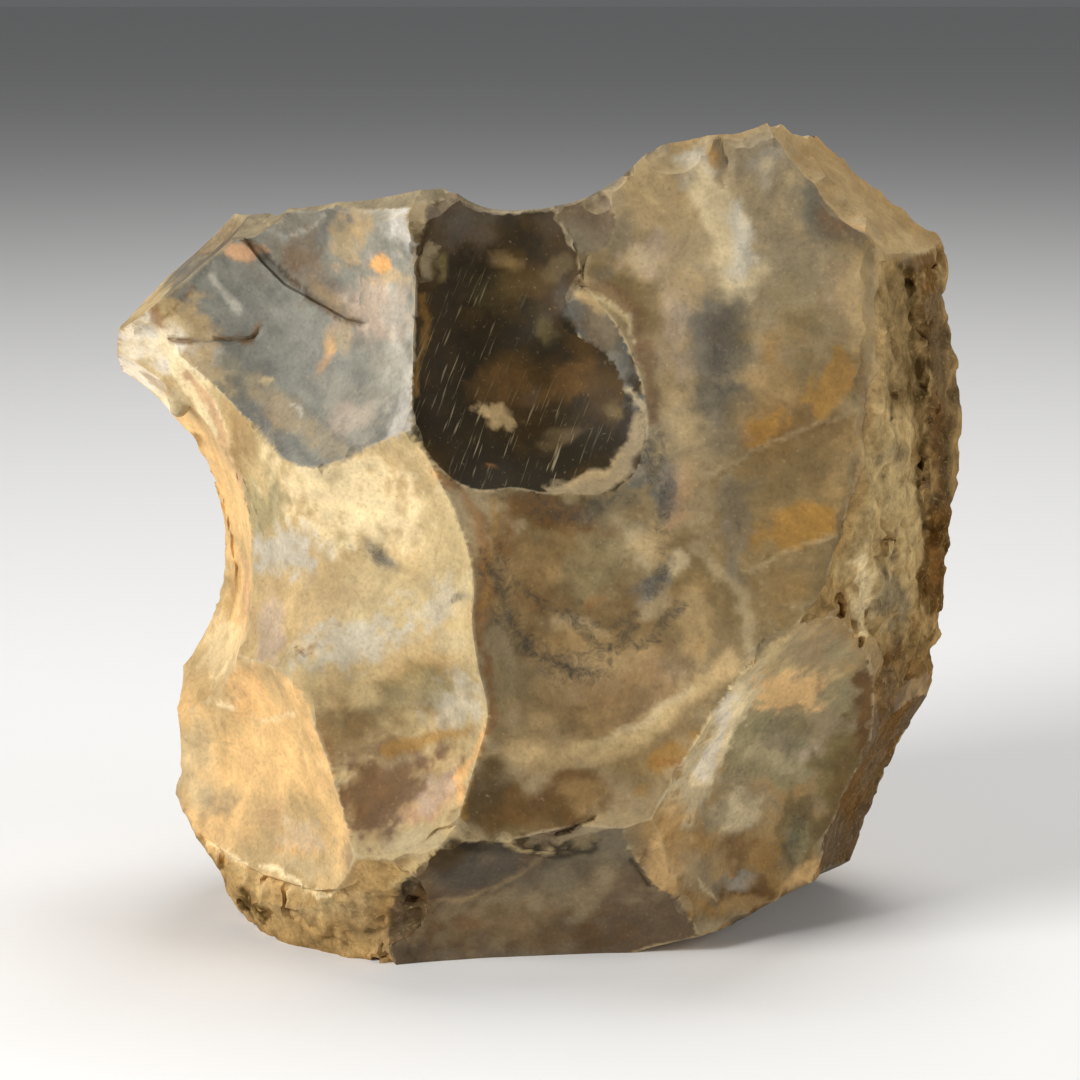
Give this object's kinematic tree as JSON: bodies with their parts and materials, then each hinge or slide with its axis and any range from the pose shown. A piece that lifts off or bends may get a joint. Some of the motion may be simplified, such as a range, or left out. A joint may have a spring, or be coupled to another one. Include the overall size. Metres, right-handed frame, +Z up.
{
  "type": "flint core",
  "caption": "Knapped flint core standing on a flat spot: a rounded nodule worked all over by hollow flake scars that meet in sharp arrises, with rough cortex left on one side.",
  "frame": {"origin": "on the floor under the middle of the piece's box, on the flat spot that it stands on", "axes": "+Z up as it stands, +Y through its thickness from the scarred front face to the plainer back, +X to the viewer's right, towards the cortex side"},
  "size_m": [0.125, 0.0776, 0.1198],
  "materials": {
    "flint": "grey-brown patinated flint, dull waxy scars, rough tan cortex"
  },
  "bodies": {
    "root": {"flint_core": "flint"}
  },
  "joints": []
}
